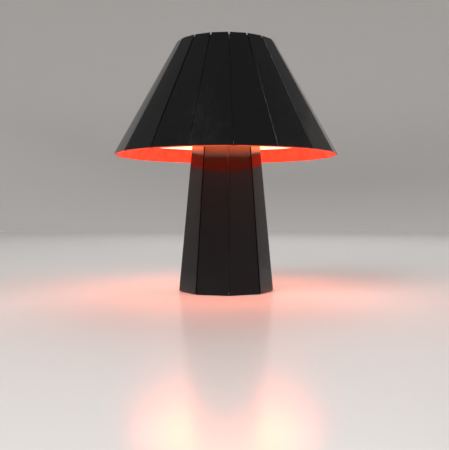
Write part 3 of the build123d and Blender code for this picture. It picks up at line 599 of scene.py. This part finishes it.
def folded_sheet(name, node, sides, corner, low_z, high_z, rows, gap, notch, bows, material=None):
    """A pleated sheet of card as one closed solid. Each layer is the pleated line at the foot
    and at the top with straight lines between them; the panels swell outwards by their bow,
    which is greatest half-way up and across; the pleats' floors end lower by the notch; and
    the sheet's two ends stand half the gap from the seam's middle at each height."""
    rise = np.linspace(0.0, 1.0, rows)[:, None]
    in_panel = across_cell()
    swell = np.tile(4 * in_panel * (1 - in_panel), (sides, 1)) * bows[:, None]
    swell = np.concatenate([[0.0], swell.ravel(), [0.0]])
    is_floor = np.zeros(len(in_panel), bool)
    is_floor[:CORNER_STEPS] = True
    is_floor[-CORNER_STEPS:] = True
    is_floor = np.concatenate([[True], np.tile(is_floor, sides), [True]])
    reach = 1 - is_floor * notch / (high_z - low_z)
    middle = (np.arange(sides) + 0.5) * math.tau / sides
    facing = np.concatenate([[0.0], np.repeat(middle, len(in_panel)), [0.0]])
    outwards = turned_place(1.0, 0.0, facing)
    outer_face = (0.0, FOLD_ROUND, GROOVE_ROUND)
    inner_face = (CARD, GROOVE_ROUND, FOLD_ROUND)
    layers = []
    for inset, *reaches in (outer_face, inner_face):
        foot = pleated_line(sides, corner(low_z), inset, *reaches)
        top = pleated_line(sides, corner(high_z), inset, *reaches)
        share = (rise * reach)[..., None]
        across = foot + (top - foot) * share
        across = across + outwards * (swell * np.sin(math.pi * rise))[..., None]
        height = low_z + share[..., 0] * (high_z - low_z)
        floor_r = corner(height[:, 0]) - PLEAT_DEPTH - inset
        half_gap = gap(height[:, 0]) / 2
        across[:, 0] = turned_place(floor_r, half_gap, 0.0)
        across[:, -1] = turned_place(floor_r, -half_gap, 0.0)
        layers.append(np.concatenate([across, height[..., None]], axis=-1))
    columns = layers[0].shape[1]
    count = rows * columns
    outer = np.arange(count).reshape(rows, columns)
    inner = outer + count
    strips = [
        np.stack([outer[0, :-1], inner[0, :-1], inner[0, 1:], outer[0, 1:]], axis=-1),
        np.stack([outer[-1, :-1], outer[-1, 1:], inner[-1, 1:], inner[-1, :-1]], axis=-1),
        np.stack([outer[:-1, 0], outer[1:, 0], inner[1:, 0], inner[:-1, 0]], axis=-1),
        np.stack([outer[:-1, -1], inner[:-1, -1], inner[1:, -1], outer[1:, -1]], axis=-1),
    ]
    sheet = [grid_faces(rows, columns), grid_faces(rows, columns, count)[:, ::-1]]
    faces = np.concatenate(sheet + strips)
    piece = mesh_piece(name, node, np.concatenate(layers), faces, material)
    cut = np.zeros(len(faces), np.float32)
    cut[sum(len(part) for part in sheet) :] = 1.0
    piece.data.attributes.new("cut", "FLOAT", "FACE").data.foreach_set("value", cut)
    return piece


def shade_seam(z):
    """The shade's seam gap is the same at every height."""
    return np.full_like(z, SEAM_GAP)


def column_seam(z):
    """The column's seam gap is even below the taper and opens evenly above it."""
    share = np.clip((z - SEAM_TAPER_Z) / (SEAM_TOP_Z - SEAM_TAPER_Z), 0.0, 1.0)
    return SEAM_GAP + (SEAM_TOP_GAP - SEAM_GAP) * share


# The bow differs from panel to panel, as it does on a sheet folded by hand.
shade_bows = SHADE_BOW + SHADE_BOW_SPREAD * np.sin(2.3 * np.arange(SHADE_SIDES))
folded_sheet(
    "shade_cover_sheet", "shade_cover", SHADE_SIDES, shade_corner, RIM_Z, SHADE_TOP_Z, SHADE_ROWS,
    shade_seam, NOTCH_DEPTH, shade_bows,
)


def round_hole(piece, centre, normal, radius, depth):
    """Cuts a round hole through a piece with a many-sided rod, whose wall counts as cut card."""
    turn = np.arange(HOLE_SIDES) * math.tau / HOLE_SIDES
    normal = np.array(normal)
    side = np.array((1.0, 0.0, 0.0))
    up = np.cross(normal, side)
    ring = centre + radius * (np.cos(turn)[:, None] * side + np.sin(turn)[:, None] * up)
    points = np.concatenate([ring - depth * normal, ring + depth * normal])
    near = np.arange(HOLE_SIDES)
    far = near + HOLE_SIDES
    walls = np.stack([near, np.roll(near, -1), np.roll(far, -1), far], axis=-1).tolist()
    rod_mesh = bpy.data.meshes.new("hole_rod")
    rod_mesh.from_pydata(points.tolist(), [], walls + [near[::-1].tolist(), far.tolist()])
    attribute = rod_mesh.attributes.new("cut", "FLOAT", "FACE")
    attribute.data.foreach_set("value", np.ones(len(rod_mesh.polygons), np.float32))
    rod = show("hole_rod", rod_mesh)
    cutter = piece.modifiers.new("hole", "BOOLEAN")
    cutter.operation = "DIFFERENCE"
    cutter.object = rod
    cutter.solver = "EXACT"
    bpy.context.view_layer.update()
    cut_piece = piece.evaluated_get(bpy.context.evaluated_depsgraph_get())
    shaped = bpy.data.meshes.new_from_object(cut_piece)
    piece.modifiers.clear()
    merge_points(shaped)
    old = piece.data
    piece.data = shaped
    bpy.data.meshes.remove(old)
    bpy.data.objects.remove(rod)


column_bows = np.full(COLUMN_SIDES, COLUMN_BOW)
column_sheet = folded_sheet(
    "column_cover_sheet", "column_cover", COLUMN_SIDES, column_corner, COLUMN_FOOT_Z,
    COLUMN_TOP_Z, COLUMN_ROWS, column_seam, 0.0, column_bows, column_card,
)
panel_lean = math.atan(COLUMN_SLOPE * math.cos(math.pi / COLUMN_SIDES))
panel_normal = (0.0, math.cos(panel_lean), math.sin(panel_lean))
for hole_z in (GLAND_Z, SWITCH_Z):
    hole_y = column_corner(hole_z) * math.cos(math.pi / COLUMN_SIDES)
    hole_centre = np.array((0.0, hole_y, hole_z))
    round_hole(column_sheet, hole_centre, panel_normal, FITTING_HOLE_R, HOLE_REACH)


# ---- folded liner
def ring_faces(rows, columns, closed):
    """Quads of rings of points stacked along a profile, which may close on itself."""
    index = np.arange(rows * columns).reshape(rows, columns)
    along = np.roll(index, -1, axis=1)
    quads = [index, along, np.roll(along, -1, axis=0), np.roll(index, -1, axis=0)]
    quads = np.stack(quads, axis=-1)
    return (quads if closed else quads[:-1]).reshape(-1, 4)


def creased_line(sides, corner_r, reach):
    """Outline of a plain eased polygon, matched point for point to the pleated line: half a
    corner, the flat, then half the next corner on every side."""
    turn = np.arange(sides) * math.tau / sides
    step = math.tau / sides
    corner = turned_place(corner_r, 0.0, turn)
    before = turned_place(corner_r, 0.0, turn - step)
    after = turned_place(corner_r, 0.0, turn + step)
    eased = soften(before, corner, after, reach, 4 * CORNER_STEPS)
    leaving = eased[:, 2 * CORNER_STEPS :]
    arriving = np.roll(eased[:, : 2 * CORNER_STEPS], -1, axis=0)
    share = ACROSS_PANEL[:, None]
    flat = leaving[:, -1:] * (1 - share) + arriving[:, :1] * share
    return np.concatenate([leaving, flat, arriving], axis=1).reshape(-1, 2)


def folded_liner():
    """The liner as one closed solid. Its section runs down the inside of the wall, round the
    fold, out along the underside of the hem, up its edge and back, then up the outside of the
    wall. The hem comes out under the cover's panels and is tucked in at its pleats. Each panel
    sags inwards by a little, most at its middle."""
    side_place = across_cell()
    sag = LINER_SAG * (0.7 + 0.3 * np.sin(1.7 * np.arange(SHADE_SIDES)))
    sag = (sag[:, None] * 4 * side_place * (1 - side_place)).ravel()
    facing = (np.arange(SHADE_SIDES) + 0.5) * math.tau / SHADE_SIDES
    inwards = -turned_place(1.0, 0.0, np.repeat(facing, len(side_place)))

    def wall(setback, z):
        line = creased_line(SHADE_SIDES, shade_corner(z) - setback, LINER_CREASE)
        rise = (z - HEM_Z) / (LINER_TOP_Z - HEM_Z)
        line = line + inwards * (sag * math.sin(math.pi * rise))[:, None]
        return np.column_stack([line, np.full(len(line), z)])

    def hem(setback, z):
        flush, tucked = (
            pleated_line(SHADE_SIDES, RIM_R, inset + setback, FOLD_ROUND, GROOVE_ROUND)[1:-1]
            for inset in (HEM_INSET, CARD + GLUE)
        )
        under_panel = np.tile(side_place > 0.0, SHADE_SIDES)[:, None]
        line = np.where(under_panel, flush, tucked)
        return np.column_stack([line, np.full(len(line), z)])

    levels = np.linspace(LINER_TOP_Z, HEM_Z + LINER_FOLD, LINER_ROWS)
    bend = np.linspace(0.0, math.pi / 2, FOLD_ROWS)
    rows = [wall(LINER_INNER, z) for z in levels]
    for angle in bend[1:]:
        outwards = LINER_FOLD * (1 - math.cos(angle))
        rows.append(wall(LINER_INNER - outwards, HEM_Z + LINER_FOLD * (1 - math.sin(angle))))
    for angle in bend:
        inset = HEM_ROUND * (1 - math.sin(angle))
        rows.append(hem(inset, HEM_Z + HEM_ROUND * (1 - math.cos(angle))))
    rows += [hem(0.0, HEM_TOP_Z), wall(LINER_OUTER - GLUE, HEM_TOP_Z)]
    rows += [wall(LINER_OUTER, z) for z in levels[::-1]]
    points = np.stack(rows)
    mesh_piece("shade_liner_sheet", "shade_liner", points, ring_faces(*points.shape[:2], True))


folded_liner()


# ---- turned pieces
def eased_profile(points, reach, closed):
    """A profile with its corners eased: each reach is kept under half of the shorter line
    beside it. An open profile keeps its ends."""
    before = np.roll(points, 1, axis=0)
    after = np.roll(points, -1, axis=0)
    shorter = np.minimum(
        np.linalg.norm(points - before, axis=-1), np.linalg.norm(points - after, axis=-1)
    )
    reaches = np.minimum(reach, 0.45 * shorter)[:, None]
    eased = soften(before, points, after, reaches, PROFILE_STEPS)
    if closed:
        return eased.reshape(-1, 2)
    return np.concatenate([points[:1], eased[1:-1].reshape(-1, 2), points[-1:]])


def arc(centre, radius, first, last, count):
    """Points of an arc as (radius, height) in millimetres, its angles from straight down."""
    angle = np.linspace(first, last, count)
    places = np.stack([radius * np.sin(angle), -radius * np.cos(angle)], axis=-1)
    return (np.array(centre) + places).tolist()


def finer(profile, spacing):
    """The profile with points added so that no step is longer than a spacing."""
    steps = np.linalg.norm(np.diff(profile, axis=0), axis=1)
    length = np.concatenate([[0.0], np.cumsum(steps)])
    even = np.linspace(0.0, length[-1], int(length[-1] / spacing) + 2)
    places = np.union1d(length, even)
    columns = [np.interp(places, length, profile[:, axis]) for axis in (0, 1)]
    return np.stack(columns, axis=-1)


def grooved(count, centre_r, groove_r):
    """Grooves along the axis: the radius is held under round rods standing evenly about it.
    A ray at an angle from a rod's centre meets its near side at
    centre * cos(angle) - sqrt(rod^2 - (centre * sin(angle))^2)."""
    centre_r, groove_r = centre_r * MM, groove_r * MM

    def shape(radius, height, angle):
        step = math.tau / count
        away = angle - step * np.round(angle / step)
        across = np.minimum(np.abs(centre_r * np.sin(away)), groove_r)
        near = centre_r * np.cos(away) - np.sqrt(groove_r**2 - across**2)
        inside = across < groove_r
        return np.where(inside, np.minimum(radius, near), radius)

    return shape


def threaded(low_z, high_z, pitch, wall_r, thread_r):
    """A round-topped thread: between two heights the wall swings to the thread's radius and
    back once per pitch, moved up by one pitch per turn, and fades within a pitch of each end."""
    low_z, high_z, pitch = low_z * MM, high_z * MM, pitch * MM
    wall_r, thread_r = wall_r * MM, thread_r * MM

    def shape(radius, height, angle):
        wave = 0.5 - 0.5 * np.cos(math.tau * (height / pitch - angle / math.tau))
        edge = np.minimum(height - low_z, high_z - height) / pitch
        fade = np.clip(edge, 0.0, 1.0)
        on_wall = np.abs(radius - wall_r) < 1.0 * MM
        turned = wall_r + (thread_r - wall_r) * wave * fade
        return np.where(on_wall & (fade > 0.0), turned, radius)

    return shape


def turned_piece(
    node, points, reach=None, spacing=None, shape=None, columns=96,
    places=((0.0, 0.0, 0.0),), axes=np.eye(3),
):
    """A profile turned about its own axis, repeated at each place. Its corners are eased by a
    reach, its steps held under a spacing, and its radius changed by a shape, where they are
    given. A profile that starts on the axis is open; points that meet there are merged."""
    closed = points[0][0] > 0.0
    profile = np.array(points) * MM
    if reach is not None:
        profile = eased_profile(profile, reach * MM, closed)
    if spacing is not None:
        profile = finer(profile, spacing * MM)
    angle = np.arange(columns) * math.tau / columns
    radius = np.broadcast_to(profile[:, :1], (len(profile), columns))
    height = np.broadcast_to(profile[:, 1:], (len(profile), columns))
    if shape is not None:
        radius = shape(radius, height, angle[None])
    flat = turned_place(radius, 0.0, angle[None])
    local = flat[..., :1] * axes[0] + flat[..., 1:] * axes[1] + height[..., None] * axes[2]
    one = ring_faces(len(profile), columns, closed)
    count = local.shape[0] * local.shape[1]
    points = np.concatenate([local.reshape(-1, 3) + np.array(place) for place in places])
    faces = np.concatenate([one + count * number for number in range(len(places))])
    mesh_piece(node + "_turned", node, points, faces, merge=True)


# From here on profiles are (radius, height) in millimetres, like the sizes beside them.
SHARP = 0.35

# Lampholder: cap with a rounded foot, threaded body, and a ring with finger grooves.
holder_r = 19.0
holder_bore_r = 17.2
holder_foot_z = 259.5
holder_joint_z = 277.0
holder_top_z = 305.0
stem_hole_r = 5.05
cap_round = 5.0
cap_floor_z = 263.1
groove_z = 268.6
groove_floor_r = holder_r - 0.3
body_r = holder_r - 0.05
ring_r = 23.0
ring_bore_r = holder_r + 0.1
ring_foot_z = 289.5
ring_top_z = 297.5

cap_arc = arc((holder_r - cap_round, holder_foot_z + cap_round), cap_round, 0.0, math.pi / 2, 9)
turned_piece("lampholder_cap", [
    (stem_hole_r, holder_foot_z), *cap_arc, (holder_r, groove_z - 0.6),
    (groove_floor_r, groove_z - 0.3), (groove_floor_r, groove_z + 0.3), (holder_r, groove_z + 0.6),
    (holder_r, holder_joint_z), (holder_bore_r, holder_joint_z),
    (holder_bore_r, cap_floor_z), (stem_hole_r, cap_floor_z),
], SHARP)
turned_piece("lampholder_body", [
    (body_r, holder_joint_z), (body_r, holder_top_z - 0.6), (18.4, holder_top_z),
    (17.8, holder_top_z), (holder_bore_r, holder_top_z - 0.6), (holder_bore_r, holder_joint_z),
], 0.15, 0.3, threaded(281.0, 303.5, 2.5, body_r, body_r - 0.6))
turned_piece("lampholder_ring", [
    (ring_r, ring_foot_z), (ring_r, ring_top_z), (ring_bore_r, ring_top_z),
    (ring_bore_r, ring_foot_z),
], 0.7, shape=grooved(24, 23.7, 1.4), columns=480)

# Bulb: a screw cap with a rolled thread, and a pear-shaped glass.
bulb_foot_z = 281.0
bulb_joint_z = 303.0
bulb_cap_r = 12.3
bulb_thread_r = 13.2
bulb_bevel = 2.0
neck_r = 14.5
neck_z = 311.0
globe_r = 30.0
globe_z = 353.0
glass = 1.0

bulb_thread = threaded(bulb_foot_z + 1.2, bulb_joint_z - 1.0, 3.6, bulb_cap_r, bulb_thread_r)
turned_piece("bulb_cap", [
    (0.0, bulb_foot_z), (bulb_cap_r - bulb_bevel, bulb_foot_z),
    (bulb_cap_r, bulb_foot_z + bulb_bevel), (bulb_cap_r, bulb_joint_z), (0.0, bulb_joint_z),
], SHARP, 0.25, bulb_thread, 120)


def pear_side(offset):
    """Outline of the glass moved inwards by an offset: the neck, then a cone that meets the
    globe where the line from the neck's top touches it."""
    side_r, round_r = neck_r - offset, globe_r - offset
    reach = globe_z - neck_z
    touch = math.atan2(side_r, reach) + math.acos(round_r / math.hypot(reach, side_r))
    globe = arc((0.0, globe_z), round_r, touch, math.pi, 60)
    return [(side_r, bulb_joint_z), (side_r, neck_z), *globe]


turned_piece("bulb_globe", pear_side(0.0) + pear_side(glass)[::-1], columns=128)

# Harp: ferrules, each a tube with a waist, and the seat with its threaded stud.
harp_foot_x = 27.0
wire_r = 1.6
ferrule_r = 3.0
ferrule_bore_r = 1.7
ferrule_top_z = 275.5
waist_r = 2.75
waist_low_z = 262.0
waist_high_z = 273.0
seat_r = 9.0
seat_foot_z = 399.0
seat_top_z = 401.0
stud_r = 2.95
stud_end_r = 2.4
stud_top_z = 414.0

turned_piece("harp_ferrules", [
    (ferrule_r, holder_foot_z), (ferrule_r, waist_low_z - 0.5), (waist_r, waist_low_z),
    (waist_r, waist_high_z), (ferrule_r, waist_high_z + 0.5), (ferrule_r, ferrule_top_z),
    (ferrule_bore_r, ferrule_top_z), (ferrule_bore_r, holder_foot_z),
], SHARP, columns=48, places=[(side * harp_foot_x * MM, 0.0, 0.0) for side in (-1, 1)])
turned_piece("harp_seat", [
    (0.0, seat_foot_z), (seat_r, seat_foot_z), (seat_r, seat_top_z), (stud_r, seat_top_z),
    (stud_r, stud_top_z - 0.6), (stud_end_r, stud_top_z), (0.0, stud_top_z),
], SHARP, 0.11, threaded(401.2, 413.6, 1.0, stud_r, 2.5), 64)

# Finial: a grip with round grooves under a domed button, on a blind bore.
finial_foot_z = 404.0
finial_bore_r = 3.3
finial_bore_top_z = 417.3
grip_r = 8.5
grip_top_z = 414.45
dome_round = 5.0
dome_centre = (1.8, 418.0)

turned_piece("finial", [
    (0.0, finial_bore_top_z), (finial_bore_r, finial_bore_top_z), (finial_bore_r, finial_foot_z),
    (grip_r, finial_foot_z), (grip_r, grip_top_z), (7.3, grip_top_z), (6.8, 415.1),
    *arc(dome_centre, dome_round, math.pi / 2, math.pi, 12),
    (0.0, dome_centre[1] + dome_round),
], 0.6, shape=grooved(18, 8.8, 0.9), columns=432)


# ---- rear fittings
def rear_axes(height):
    """Centre and axes of a fitting square to the rear panel at a height."""
    across = np.array((1.0, 0.0, 0.0))
    outwards = np.array(panel_normal)
    centre = np.array((0.0, column_corner(height) * math.cos(math.pi / COLUMN_SIDES), height))
    return centre, (across, np.cross(outwards, across), outwards)


# Cord gland: a threaded barrel behind the panel, and a grooved flange before it.
barrel_r = 5.9
barrel_end = -13.5
flange_r = 9.0
flange_face = 2.5
bore_r = 3.1

gland_thread = threaded(-13.0, -0.5, 1.5, barrel_r, 5.35)
flange_grooves = grooved(16, 9.7, 1.1)
gland_centre, gland_axes = rear_axes(GLAND_Z)


def gland_shape(radius, height, angle):
    """The barrel's thread, then the grooves round the flange."""
    return flange_grooves(gland_thread(radius, height, angle), height, angle)


turned_piece("cord_gland", [
    (barrel_r, barrel_end), (barrel_r, 0.0), (flange_r, 0.0), (flange_r, 1.5),
    (flange_r - 1.0, flange_face), (4.6, flange_face), (4.2, flange_face - 0.4),
    (bore_r + 0.5, flange_face - 0.4), (bore_r, 1.6), (bore_r, barrel_end),
], 0.25, 0.14, gland_shape, 192, (gland_centre,), gland_axes)

# Switch button: a short rod with a rounded edge and a shallow dish in its face.
button_r = 4.5
button_back = -3.5
button_face = 5.5
button_dish = 5.2
button_round = 1.0

button_edge = (button_r - button_round, button_face - button_round)
button_centre, button_axes = rear_axes(SWITCH_Z)
turned_piece("switch_button", [
    (0.0, button_back), (button_r, button_back),
    *arc(button_edge, button_round, math.pi / 2, math.pi, 8),
    (3.1, button_face), (2.4, 5.3), (1.2, button_dish), (0.0, button_dish),
], 0.3, places=(button_centre,), axes=button_axes)


# ---- harp wire
def bent_line(points, radii, count):
    """A line through points with each inner corner turned into an arc. From the arc's start
    the place is start + way * r * sin(a) + side * r * (1 - cos(a)) up to the full bend."""
    points = np.array(points) * MM
    ways = np.diff(points, axis=0)
    ways = ways / np.linalg.norm(ways, axis=1, keepdims=True)
    way, next_way = ways[:-1], ways[1:]
    bend = np.arccos(np.sum(way * next_way, axis=1))[:, None]
    radius = np.array(radii)[:, None] * MM
    side = (next_way - way * np.cos(bend)) / np.sin(bend)
    start = points[1:-1] - way * radius * np.tan(bend / 2)
    angle = (bend * np.linspace(0.0, 1.0, count))[..., None]
    arcs = start[:, None] + radius[:, None] * (
        way[:, None] * np.sin(angle) + side[:, None] * (1 - np.cos(angle))
    )
    return np.concatenate([points[:1], arcs.reshape(-1, 3), points[-1:]])


def wire_tube(line, radius, columns):
    """Rings of points round a line that lies in the XZ plane, closed to a point at each end."""
    way = np.gradient(line, axis=0)
    way = way / np.linalg.norm(way, axis=1, keepdims=True)
    side = np.array((0.0, 1.0, 0.0))
    up = np.cross(way, side)
    line = np.concatenate([line[:1], line[:1], line, line[-1:], line[-1:]])
    up = np.concatenate([up[:1], up[:1], up, up[-1:], up[-1:]])
    size = np.concatenate([[0.0, 0.85], np.ones(len(line) - 4), [0.85, 0.0]]) * radius
    turn = (np.arange(columns) * math.tau / columns)[None, :, None]
    return line[:, None] + size[:, None, None] * (np.cos(turn) * side + np.sin(turn) * up[:, None])


# One flank of the harp from its ferrule upwards, as (X, Z) in millimetres, and the radii of
# the bends along it. The wire crosses to the other flank under the seat.
flank = [(harp_foot_x, 271.5), (harp_foot_x, 285.5), (44.0, 307.5), (44.0, 373.4), (27.0, 397.4)]
bends = (14.0, 14.0, 16.0, 12.0)
route = [(x, 0.0, z) for x, z in flank] + [(-x, 0.0, z) for x, z in reversed(flank)]
harp_line = bent_line(route, (*bends, *reversed(bends)), 14)
harp_points = wire_tube(harp_line, wire_r * MM, 28)
harp_faces = ring_faces(*harp_points.shape[:2], False)
mesh_piece("harp_wire_bent", "harp_wire", harp_points, harp_faces, merge=True)


# ---- eased pieces
def eased_copy(node, reach):
    """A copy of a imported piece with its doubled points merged, its flat faces joined and its
    sharp edges taken off by a small reach."""
    flat_angle = math.radians(0.5)
    sharp_angle = math.radians(32.0)
    shaded_angle = math.radians(26.0)
    edit = bmesh.new()
    edit.from_mesh(frame["nodes"][node].data)
    bmesh.ops.remove_doubles(edit, verts=edit.verts, dist=MERGE)
    bmesh.ops.dissolve_limit(edit, angle_limit=flat_angle, verts=edit.verts, edges=edit.edges)
    sharp = [edge for edge in edit.edges if edge.calc_face_angle(0.0) > sharp_angle]
    bmesh.ops.bevel(
        edit, geom=sharp, offset=reach, offset_type="OFFSET", segments=2, profile=0.5,
        affect="EDGES", clamp_overlap=True,
    )
    mesh = bpy.data.meshes.new(node + "_eased")
    edit.to_mesh(mesh)
    edit.free()
    mesh.shade_smooth()
    mesh.set_sharp_from_angle(angle=shaded_angle)
    dress(node + "_eased", node, mesh)


# How far each piece's sharp edges are taken off, in millimetres.
EASED = {
    "felt_pad": 0.6, "base_plate": 0.4, "base_weight": 0.8, "plate_screws": 0.15,
    "base_frame": 0.35, "column_seam_strip": 0.1, "upper_former": 0.4, "stem_tube": 0.2,
    "stem_nuts": 0.5, "stem_washers": 0.3, "diffuser_disc": 0.4, "contact_block": 0.4,
    "centre_contact": 0.2, "screw_shell": 0.2, "harp_saddle": 0.35, "gland_nut": 0.4,
    "switch_body": 0.3, "switch_nut": 0.4, "switch_terminals": 0.2, "neutral_connector": 0.4,
    "bulb_insulator": 0.2, "bulb_contact": 0.08, "rim_ring": 0.2, "top_ring": 0.2,
    "shade_seam_strip": 0.1, "shade_spider": 0.5, "lead_live": 0.1, "lead_neutral": 0.1,
}
EASED.update({f"shade_rib_{number}": 0.25 for number in range(1, 7)})
for node_name, edge_reach in EASED.items():
    eased_copy(node_name, edge_reach * MM)


# ---- floor, light and camera
def make_stage():
    """A pale glossy floor that sweeps up into a round matt backdrop: a disc, a quarter-round
    and a wall, turned about the lamp's axis."""
    floor_r, sweep_r, wall_z = 2.6, 0.9, 2.2
    glossy, matt, matt_z = 0.18, 0.6, 0.05
    quarter = np.linspace(0.0, math.pi / 2, 25)[1:]
    flat_r = np.linspace(MM, floor_r, 40)
    radii = np.concatenate([flat_r, floor_r + sweep_r * np.sin(quarter), [floor_r + sweep_r]])
    heights = np.concatenate([np.zeros_like(flat_r), sweep_r * (1 - np.cos(quarter)), [wall_z]])
    turn = np.linspace(0.0, math.tau, 129)[:, None]
    points = np.stack(
        np.broadcast_arrays(radii * np.cos(turn), radii * np.sin(turn), heights), axis=-1
    )
    mesh = bpy.data.meshes.new("studio_floor")
    faces = grid_faces(*points.shape[:2])[:, ::-1]
    mesh.from_pydata(points.reshape(-1, 3).tolist(), [], faces.tolist())
    mesh.shade_smooth()
    floor = show("studio_floor", mesh)
    material, tree, shader, place = new_material("studio_floor", IOR=1.4)
    shader.inputs["Base Color"].default_value = (0.64, 0.625, 0.61, 1.0)
    height = add(tree, "ShaderNodeSeparateXYZ", {0: place}).outputs["Z"]
    tree.links.new(span(tree, height, 0.0, matt_z, glossy, matt), shader.inputs["Roughness"])
    mesh.materials.append(material)


def softbox(name, place, power):
    """A square area light at a place, turned to face the lamp's middle."""
    light = bpy.data.lights.new(name, "AREA")
    light.shape = "SQUARE"
    light.size = 1.2
    light.energy = power
    lamp = show(name, light)
    lamp.location = place
    away = np.array(place) - np.array((0.0, 0.0, 0.2))
    tilt = math.atan2(math.hypot(away[0], away[1]), away[2])
    lamp.rotation_euler = (tilt, 0.0, math.atan2(away[1], away[0]) + math.pi / 2)


def make_light():
    """An even pale world with three soft lamps."""
    world = bpy.data.worlds.new("studio")
    bpy.context.scene.world = world
    world.use_nodes = True
    background = world.node_tree.nodes["Background"]
    background.inputs["Color"].default_value = (1.0, 0.985, 0.97, 1.0)
    background.inputs["Strength"].default_value = 0.2
    softbox("key_light", (-1.3, -1.5, 1.9), 56.0)
    softbox("fill_light", (2.05, -0.55, 1.25), 20.0)
    softbox("back_light", (0.4, 1.7, 1.9), 34.0)


def make_camera():
    """The photograph's view: 1.13 m away, a hand's breadth above the table, turned a little
    to the left of the front seams and tipped a little down."""
    distance = 1134.7 * MM
    height = 136.9 * MM
    turn = math.radians(3.3)
    tip = math.radians(1.39)
    sideways = 2.35 * MM
    camera_data = bpy.data.cameras.new("camera")
    camera_data.lens = 54.2
    camera_data.sensor_width = 36.0
    camera_data.clip_start = 0.01
    camera = show("camera", camera_data)
    x = -distance * math.sin(turn) - sideways * math.cos(turn)
    y = -distance * math.cos(turn) + sideways * math.sin(turn)
    camera.location = (x, y, height)
    camera.rotation_euler = (math.pi / 2 - tip, 0.0, -turn)
    bpy.context.scene.camera = camera


make_stage()
make_light()
make_camera()
bpy.context.scene.view_settings.view_transform = "Standard"
